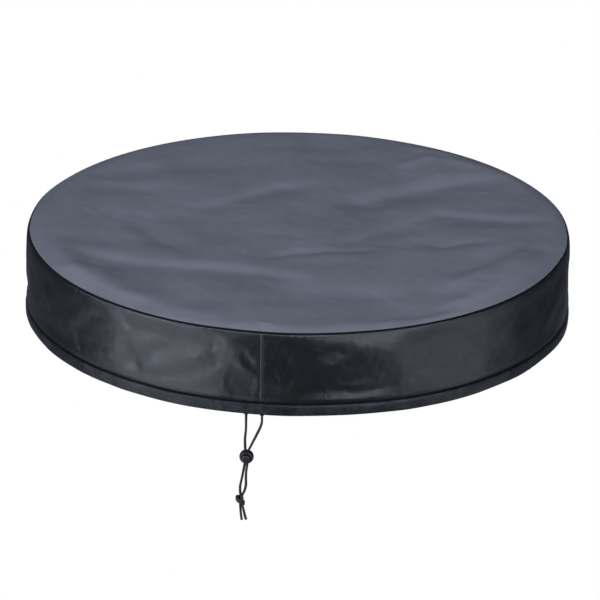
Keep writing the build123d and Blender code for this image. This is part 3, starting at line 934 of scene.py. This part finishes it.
def makeTop(t, c):
    # A square grid is laid on the disc: a point's larger coordinate gives its ring and
    # the ratio of the two gives its angle in that quarter. Rings are closer at the rim.
    n = t["grid"]
    line = np.linspace(-1, 1, n)
    a, b = np.meshgrid(line, line)
    size = np.maximum(np.abs(a), np.abs(b))
    safe = np.where(size == 0, 1, size)
    wide = np.abs(a) >= np.abs(b)
    quarter = math.pi / 4 * np.where(wide, b, a) / safe * np.sign(np.where(wide, a, b))
    angle = np.where(
        wide, np.where(a >= 0, 0, math.pi) + quarter, np.where(b >= 0, 1, 3) * math.pi / 2 - quarter
    )
    rimStart, rimLength, turnLength = topProfile(np.zeros(1), c)[4]
    rings = np.concatenate([
        np.linspace(0, rimStart, t["flatRings"], endpoint=False),
        rimStart + np.linspace(0, rimLength, t["rimRings"], endpoint=False),
        rimStart + rimLength + np.linspace(0, turnLength, t["turnRings"], endpoint=False),
        rimStart + rimLength + turnLength + np.linspace(0, c["allowance"], t["edgeRings"] + 1),
    ])
    s = np.interp(size * (n - 1) / 2, np.arange(len(rings)), rings)
    radius, z, outward, upward, _ = topProfile(s, c)
    x, y = np.cos(angle), np.sin(angle)
    lift = topHeights(radius * x, radius * y, t) * (1 - smooth(radius, 0.368, 0.394))
    outer = np.stack([radius * x, radius * y, z + lift], -1)
    normal = np.stack([outward * x, outward * y, upward], -1)
    inner = outer - c["thickness"] * normal
    uv = np.stack([s * x, s * y], -1)
    return thickSheet("topCloth", settle(outer), settle(inner), uv)


top = makeTop(topLie, clothShape)
# The top's grey tones are painted light, and its turn into the seam gets painted shade
topMat = clothMaterial("topClothPaintedLit", topFinish, grooveShadePaint)
finishPiece(top, topMat, "top_panel")
print("top panel made")


# Skirt panels

skirtGrid = {"columns": 421, "wallRows": 50}


def skirtProfile(c, wallRows):
    # Middle line of the skirt's cloth, from the edge turned in at the top seam, over
    # the crown, down the wall, round the hem's bottom and up inside it to the strip
    # above the stitching. Gives radius, height and the direction to the outer face.
    half = c["thickness"] / 2
    wall = coverRadius - half
    tuck = c["tuckIn"] + half
    crownRadius = (wall - tuck) / 2
    crownMid, crownTop = (wall + tuck) / 2, crownZ - half - crownRadius - c["crownDrop"]
    hemRadius = (coverRadius - c["hemIn"]) / 2 - half
    hemMid, hemTop = (coverRadius + c["hemIn"]) / 2, hemZ + half + hemRadius
    radius, z = [np.full(5, tuck)], [np.linspace(crownZ - c["allowance"], crownTop, 5, endpoint=False)]
    arc = np.linspace(math.pi, 0, 9)
    radius.append(crownMid + crownRadius * np.cos(arc))
    z.append(crownTop + crownRadius * np.sin(arc))
    drop = np.linspace(0, 1, wallRows + 1)[1:-1]
    radius.append(np.full(wallRows - 1, wall))
    z.append(crownTop + (hemTop - crownTop) * drop)
    arc = np.linspace(0, -math.pi, 11)
    radius.append(hemMid + hemRadius * np.cos(arc))
    z.append(hemTop + hemRadius * np.sin(arc))
    inner = c["hemIn"] + half
    strip = wall - c["thickness"] - 0.0001
    radius.append(np.array([inner, inner, inner, inner + 0.0014, strip - 0.0006, strip, strip, strip]))
    shoulder = stitchZ - c["hemTaper"]
    z.append(np.array([
        hemTop + 0.004, hemTop + 0.008, shoulder - 0.0002, shoulder + 0.0020,
        stitchZ - 0.0008, stitchZ, stitchZ + 0.0015, stitchZ + c["hemStrip"],
    ]))
    radius, z = np.concatenate(radius), np.concatenate(z)
    along = unit(np.stack([np.gradient(radius), np.gradient(z)], -1))
    return radius, z, -along[:, 1], along[:, 0]


def makeSkirt(name, side, g, c):
    radius, z, outR, outZ = skirtProfile(c, g["wallRows"])
    # bearings crowd towards both upright seams
    share = np.linspace(0, 1, g["columns"])
    share = share - 0.6 * np.sin(2 * math.pi * share) / (2 * math.pi)
    bearing = side * share * math.pi
    half = c["thickness"] / 2
    b = bearing[None, :]
    outer = around(b, (radius + half * outR)[:, None], (z + half * outZ)[:, None])
    inner = around(b, (radius - half * outR)[:, None], (z - half * outZ)[:, None])
    steps = np.hypot(np.diff(radius), np.diff(z))
    crown = int(np.argmax(z))
    depth = np.concatenate([[0], np.cumsum(steps)])
    depth -= depth[crown]
    uv = np.stack(np.broadcast_arrays(b * coverRadius, depth[:, None]), -1)
    return thickSheet(name, settle(outer), settle(inner), uv)


# The skirt's material: painted light on the hem below its stitching, painted shade in its grooves
skirtMat = clothMaterial("blackCloth", skirtFinish, grooveShadePaint, hemLightAndWrinkles)
for name, side in (("skirt_panel_right", 1), ("skirt_panel_left", -1)):
    panel = makeSkirt("cloth_" + name, side, skirtGrid, clothShape)
    finishPiece(panel, skirtMat, name)
print("skirt made")


# Drawcord in the hem

inHem = {
    "middle": 0.3969,         # radius of the cord's line, and of the free width in the hem
    "rise": 0.0100,           # above the hem's bottom
    "bend": 0.0075,           # radius where it turns down to an exit
    "exits": (-0.0198, 0.0032),
    "around": 16,
    "step": 0.0016,
}


def hemCordLine(h):
    # Down-turned end, once round inside the hem, and the other down-turned end. Each
    # bend is a quarter circle in the upright plane along the hem.
    reach = math.hypot(h["middle"], h["bend"])
    swing = math.atan(h["bend"] / h["middle"])
    start = math.asin(h["exits"][1] / reach) + swing
    end = 2 * math.pi + math.asin(h["exits"][0] / reach) - swing
    top = hemZ + h["rise"]
    quarter = np.linspace(0, math.pi / 2, 9)[:, None]

    def bend(bearing, way):
        hub = around(bearing, h["middle"], top - h["bend"])
        outward = np.array([math.cos(bearing), math.sin(bearing), 0.0]) * way
        arc = hub + h["bend"] * (np.sin(quarter) * (0, 0, 1) + np.cos(quarter) * outward)
        foot = arc[:1] - (0, 0, h["rise"] - h["bend"])
        return np.concatenate([foot, arc])

    run = np.linspace(start, end, 900)[1:-1]
    ring = around(run, h["middle"], top)
    return np.concatenate([bend(start, -1), ring, bend(end, 1)[::-1]])


coarseCord = dict(cordShape, around=inHem["around"], step=inHem["step"], relief=0.0001, twist=25.0)
hemLine = settle(hemCordLine(inHem))
rings, _, _ = cordRings(hemLine, coarseCord, up=(0, 0.02, 1))
hemCord = tubeObject("cordInHem", rings)
finishPiece(hemCord, cordMat, "drawcord_in_hem")
print("cord in the hem made")


# Binding tapes

tapeShape = {
    "thickness": 0.0005,
    "outer": 0.39865,         # middle of the tape's outer and inner legs at the top seam
    "inner": 0.39565,
    "reach": 0.0070,
    "fold": 0.00035,          # tape below the edges that it covers
    "gap": 0.0013,            # half the distance between the legs at the upright seams
    "ripple": 0.00035,
}


def tapeMaterial(name, tone):
    # Woven tape: ribs across it, and a tone that fades here and there
    mat, tree, shader = newMaterial(name)
    place = tree.nodes.new("ShaderNodeTexCoord")
    ribs = bands(tree, place.outputs["UV"], "X", 0.0008)
    fade = noise(tree, place.outputs["Object"], 60.0)
    faded = tuple(1.7 * t for t in tone)
    feed(shader, {
        "Base Color": tones(tree, fade, [(0.35, tone), (0.65, faded)]),
        "Normal": bump(tree, ribs, 0.00008),
        "Roughness": spread(tree, fade, 0.3, 0.7, 0.55, 0.72),
        "Specular IOR Level": 0.22,
    })
    return mat


def foldedTape(half, reach, rows=7):
    # Cross-section of a tape folded in two: up one leg, round the fold and up the
    # other. Gives the distance across, the height above the fold and the normal.
    leg = np.linspace(reach, half, rows)
    turn = np.linspace(0, math.pi, 7)[1:-1]
    across = np.concatenate([np.full(rows, half), half * np.cos(turn), np.full(rows, -half)])
    height = np.concatenate([leg, half - half * np.sin(turn), leg[::-1]])
    outAcross = np.concatenate([np.ones(rows), np.cos(turn), -np.ones(rows)])
    outHeight = np.concatenate([np.zeros(rows), -np.sin(turn), np.zeros(rows)])
    return across, height, outAcross, outHeight


def topSeamTape(t, c):
    across, height, outAcross, outHeight = foldedTape((t["outer"] - t["inner"]) / 2, t["reach"] + 0.001)
    bearing = np.linspace(0, 2 * math.pi, 800, endpoint=False)[None, :]
    ripple = t["ripple"] * np.sin(60 * bearing + 3 * np.sin(7 * bearing))
    low = crownZ - c["allowance"] - t["fold"] - 0.0012
    half = t["thickness"] / 2
    sheets = []
    for side in (1, -1):
        radius = (t["outer"] + t["inner"]) / 2 + (across + side * half * outAcross)[:, None]
        z = low + (height + side * half * outHeight)[:, None] + ripple
        sheets.append(settle(around(bearing, radius, z)))
    along = np.linspace(0, 2 * math.pi * coverRadius, 801)[None, :]
    uv = np.stack(np.broadcast_arrays(along, height[:, None]), -1)
    return thickSheet("topSeamTape", *sheets, uv, wrap=True)


def uprightTape(name, face, t, c):
    across, height, outAcross, outHeight = foldedTape(t["gap"], t["reach"])
    z = np.linspace(stitchZ + c["hemStrip"], crownZ - c["allowance"] - 0.0012, 60)[None, :]
    ripple = t["ripple"] * np.sin(2 * math.pi * z / 0.031)
    half = t["thickness"] / 2
    sheets = []
    for side in (1, -1):
        x = (across + side * half * outAcross)[:, None] + ripple
        fold = coverRadius - c["thickness"] - c["turnedIn"] - 0.0006
        y = fold + (height + side * half * outHeight)[:, None]
        sheets.append(settle(np.stack(np.broadcast_arrays(x, face * y, z), -1)))
    uv = np.stack(np.broadcast_arrays(z, height[:, None]), -1)
    return thickSheet(name, *sheets, uv)


def turnedEdge(name, side, face, c):
    # Skirt cloth turned in at an upright seam
    wall = coverRadius - c["thickness"]
    y = np.linspace(wall - c["turnedIn"], wall + c["thickness"] / 2, 8)[:, None]
    z = np.linspace(stitchZ + c["hemStrip"], crownZ - c["allowance"] - 0.0008, 60)[None, :]
    bow = 0.0003 * np.sin(2 * math.pi * z / 0.031)
    sheets = [
        settle(np.stack(np.broadcast_arrays(side * x + bow, face * y, z), -1))
        for x in (0.00008, c["thickness"])
    ]
    uv = np.stack(np.broadcast_arrays(y, crownZ - z), -1)
    return thickSheet(name, *sheets, uv)


tapeMat = tapeMaterial("blackTape", (0.0080, 0.0080, 0.0090))
tapes = {
    "top_seam_binding": topSeamTape(tapeShape, clothShape),
    "front_seam_binding": uprightTape("frontSeamTape", -1, tapeShape, clothShape),
    "back_seam_binding": uprightTape("backSeamTape", 1, tapeShape, clothShape),
}
for name, piece in tapes.items():
    finishPiece(piece, tapeMat, name)
for end, face in (("front", -1), ("back", 1)):
    for hand, side in (("Right", 1), ("Left", -1)):
        piece = turnedEdge(end + hand + "Edge", side, face, clothShape)
        finishPiece(piece, skirtMat)
print("tapes made")


# Stitching

stitchShape = {
    "pitch": 0.0036,
    "length": 0.0031,
    "width": 0.00062,
    "height": 0.00042,
    "around": 6,
    "rings": 5,
}


def threadMaterial(name, tone):
    mat, tree, shader = newMaterial(name)
    plies = noise(tree, solidPlace(tree), 1100.0, 2.0)
    worn = tuple(1.9 * t for t in tone)
    feed(shader, {
        "Base Color": tones(tree, plies, [(0.35, tone), (0.65, worn)]),
        "Normal": bump(tree, plies, 0.0001),
        "Roughness": spread(tree, plies, 0.3, 0.7, 0.42, 0.60),
        "Specular IOR Level": 0.15,
    })
    return mat


def stitchRow(name, line, outward, s, closed=False):
    # One stitch is a short rounded bar whose ends dip into the cloth: its half height
    # and width follow a half sine. Copies of it stand along the line, one each pitch.
    if closed:
        line = np.concatenate([line, line[:1]])
        outward = np.concatenate([outward, outward[:1]])
    along = distances(line)
    count = int(round(along[-1] / s["pitch"]))
    at = (np.arange(count) + 0.5) * along[-1] / count
    middle = readAt(at, along, line)
    tangent = unit(readAt(at + 0.0008, along, line) - readAt(at - 0.0008, along, line))
    side = unit(np.cross(tangent, readAt(at, along, outward)))
    up = np.cross(side, tangent)
    t = np.linspace(-1, 1, s["rings"] + 2)[1:-1]
    bulge = np.sqrt(1 - t**2)
    angle = np.arange(s["around"]) * 2 * math.pi / s["around"]
    ringX = np.repeat(t * s["length"] / 2, s["around"])
    ringY = (s["width"] / 2 * bulge[:, None] * np.cos(angle)).ravel()
    lift, half = s["height"] * (bulge - 0.75), s["height"] / 2 * bulge
    ringZ = (lift[:, None] + half[:, None] * np.sin(angle)).ravel()
    x = np.concatenate([ringX, [-s["length"] / 2, s["length"] / 2]])
    y = np.concatenate([ringY, [0, 0]])
    z = np.concatenate([ringZ, [-0.75 * s["height"]] * 2])
    points = (
        middle[:, None]
        + x[None, :, None] * tangent[:, None]
        + y[None, :, None] * side[:, None]
        + z[None, :, None] * up[:, None]
    )
    i, j = gridQuads(s["rings"], s["around"], wrapColumns=True)
    quads = i * s["around"] + j % s["around"]
    k = np.arange(s["around"])
    first, last = len(x) - 2, (s["rings"] - 1) * s["around"]
    fans = np.concatenate([
        np.stack([np.full(len(k), first), (k + 1) % len(k), k], -1),
        np.stack([np.full(len(k), first + 1), last + k, last + (k + 1) % len(k)], -1),
    ])
    shift = (np.arange(count) * len(x))[:, None, None]
    quads, fans = (quads + shift).reshape(-1, 4), (fans + shift).reshape(-1, 3)
    return meshObject(name, points.reshape(-1, 3), quads, fans)


def roundRow(name, radius, z, inward=False):
    bearing = np.linspace(0, 2 * math.pi, 1600, endpoint=False)
    line = settle(around(bearing, radius, z))
    outward = around(bearing, -1.0 if inward else 1.0, 0.0)
    return stitchRow(name, line, outward, stitchShape, closed=True)


def uprightRow(name, x, face, low, high):
    z = np.linspace(low, high, 160)
    y = face * np.sqrt(coverRadius**2 - x**2)
    line = settle(np.stack(np.broadcast_arrays(x, y, z), -1))
    outward = np.broadcast_to(np.array([0.0, face, 0.0]), line.shape)
    return stitchRow(name, line, outward, stitchShape)


threadMat = threadMaterial("blackThread", (0.0030, 0.0031, 0.0040))
seamThreadMat = threadMaterial("greyThread", (0.0075, 0.0078, 0.0090))
c = clothShape
rows = [
    (roundRow("hemStitches", coverRadius, stitchZ), "hem_thread", threadMat),
    (roundRow("hemStitchesInside", c["hemIn"] + 0.0046, stitchZ + 0.0002, True), None, threadMat),
    (
        roundRow("topSeamStitches", (c["tuckIn"] + c["turnOut"]) / 2, crownZ - 0.003),
        "top_seam_thread", threadMat,
    ),
]
for face, node, label in ((-1, "front_seam_thread", "front"), (1, "back_seam_thread", "back")):
    for hand, x in (("Right", c["topstitch"]), ("Left", -c["topstitch"])):
        row = uprightRow(label + "Topstitch" + hand, x, face, hemZ + 0.0035, crownZ - 0.0035)
        rows.append((row, node, seamThreadMat))
for row, node, mat in rows:
    finishPiece(row, mat, node)
print("stitching made")


# Collars at the cord's exits

collarShape = {
    "radius": 0.00235,        # middle of the thread's roll
    "roll": 0.00062,
    "squash": 1.35,           # height of the roll by its width
    "wraps": 26,
    "relief": 0.00010,
}


def collarRings(place, s):
    # A roll of thread round the cord: the tube's thickness rises at each wrap
    turn = np.linspace(0, 2 * math.pi, 8 * s["wraps"], endpoint=False)[:, None]
    angle = np.linspace(0, 2 * math.pi, 12, endpoint=False)[None, :]
    roll = s["roll"] + s["relief"] * np.abs(np.cos(s["wraps"] * turn / 2 + 0.4 * np.sin(angle)))
    radius = s["radius"] + roll * np.cos(angle)
    z = place[2] + 0.0002 + s["squash"] * roll * np.sin(angle)
    x, y = radius * np.cos(turn), radius * np.sin(turn)
    return np.stack([place[0] + x, place[1] + y, z], -1)


for k, x in enumerate(inHem["exits"]):
    reach = math.hypot(inHem["middle"], inHem["bend"])
    rings = collarRings((x, -math.sqrt(reach**2 - x**2), hemZ), collarShape)
    i, j = gridQuads(*rings.shape[:2], wrapRows=True, wrapColumns=True)
    quads = (i % rings.shape[0]) * rings.shape[1] + j % rings.shape[1]
    collar = meshObject("exitCollar" + "LR"[k], rings.reshape(-1, 3), quads)
    finishPiece(collar, threadMat, "exit_stitching")
print("exit collars made")


# Cord lock

lockFinish = {
    "lock_barrel": {"tone": (0.0030, 0.0030, 0.0033), "roughness": (0.40, 0.55), "grain": 0.00003},
    "lock_plunger": {"tone": (0.0036, 0.0036, 0.0040), "roughness": (0.34, 0.48), "grain": 0.000012},
}


def mouldedMaterial(name, m):
    # Moulded plastic: fine eroded grain, and scuffs that change tone and gloss
    mat, tree, shader = newMaterial(name)
    solid = solidPlace(tree)
    grain = noise(tree, solid, 2600.0, 2.0)
    scuffs = noise(tree, solid, 280.0, 4.0, 0.6, 1.2)
    scuffed = tuple(1.8 * t for t in m["tone"])
    feed(shader, {
        "Base Color": tones(tree, scuffs, [(0.35, m["tone"]), (0.70, scuffed)]),
        "Normal": bump(tree, grain, m["grain"]),
        "Roughness": spread(tree, scuffs, 0.3, 0.7, *m["roughness"]),
        "Specular IOR Level": 0.22,
    })
    return mat


def wireMaterial(name):
    # Drawn spring wire, with fine draw marks
    mat, tree, shader = newMaterial(name)
    marks = noise(tree, solidPlace(tree), 1800.0, 2.0)
    feed(shader, {
        "Base Color": tones(tree, marks, [(0.3, (0.42, 0.42, 0.43)), (0.7, (0.60, 0.60, 0.61))]),
        "Roughness": spread(tree, marks, 0.3, 0.7, 0.22, 0.38),
        "Metallic": 1.0,
    })
    return mat


for node, m in lockFinish.items():
    slots = frame["nodes"][node].data.materials
    slots.clear()
    slots.append(mouldedMaterial(node + "Plastic", m))

springShape = {"wire": 0.0005, "turns": 2.5, "rings": 150, "around": 10}


def springCoil(s):
    # A tube round a helix that fills the CAD spring's box, with its axis across the
    # cover's front, so that it can be pressed together with the button
    low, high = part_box("lock_spring")
    radius = (high.x - low.x - s["wire"]) / 2
    turn = np.linspace(0, 2 * math.pi * s["turns"], s["rings"])
    y = np.linspace(high.y - s["wire"] / 2, low.y + s["wire"] / 2, s["rings"])
    middle = np.stack([lockX + radius * np.cos(turn), y, lockZ + radius * np.sin(turn)], -1)
    tangent = unit(np.gradient(middle, axis=0))
    outward = np.stack([np.cos(turn), 0 * turn, np.sin(turn)], -1)
    side = np.cross(tangent, outward)
    angle = np.linspace(0, 2 * math.pi, s["around"], endpoint=False)[None, :, None]
    ring = np.cos(angle) * outward[:, None] + np.sin(angle) * side[:, None]
    return tubeObject("springCoil", middle[:, None] + s["wire"] / 2 * ring)


spring = springCoil(springShape)
finishPiece(spring, wireMaterial("springWire"), "lock_spring", None)
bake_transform(spring)
print("lock finished")


# Cord strands and hem bends, with their placement baked into their meshes

lockPieces = [frame["nodes"]["lock_barrel"], frame["nodes"]["lock_plunger"], spring]
for k, (name, strand) in enumerate(strands.items()):
    line = strandLines[name]
    if name.endswith("upper"):
        mouth, end, others = hemBends[k][1], "fitting", [hemBends[k][0], *lockPieces]
    else:
        mouth, end, others = line[0], "bare", [knot]
    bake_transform(strand)
for bend, upperEnd, lowerEnd in hemBends:
    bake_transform(bend)
